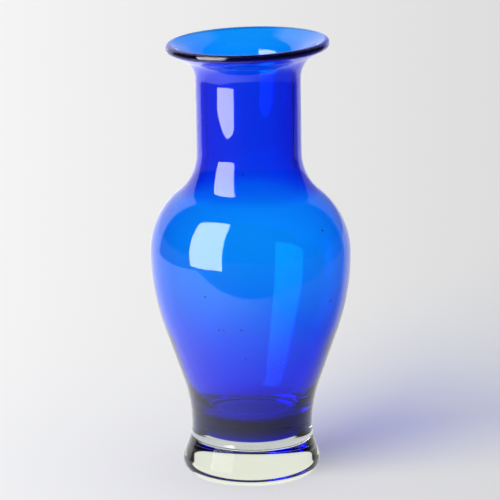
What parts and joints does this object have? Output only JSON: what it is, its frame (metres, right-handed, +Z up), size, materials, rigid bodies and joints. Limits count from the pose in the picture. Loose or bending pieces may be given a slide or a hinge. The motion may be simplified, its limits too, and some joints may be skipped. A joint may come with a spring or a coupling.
{
  "type": "glass vase",
  "caption": "Baluster vase of cased blue glass with a flared lip, a straight neck, a round shoulder, a slender waist and a thick clear foot.",
  "frame": {"origin": "middle of the flat base, on the surface that the vase stands on", "axes": "+Z up along the axis that the glass was turned about, towards the lip; the vase is round, so X and Y are free"},
  "size_m": [0.1136, 0.1136, 0.25],
  "materials": {
    "cobalt_glass": "fire-polished transparent cobalt blue",
    "clear_glass": "fire-polished clear, ground flat under the foot"
  },
  "bodies": {
    "root": {"blue_bubble": "cobalt_glass", "clear_casing": "clear_glass", "clear_foot": "clear_glass"}
  },
  "joints": []
}
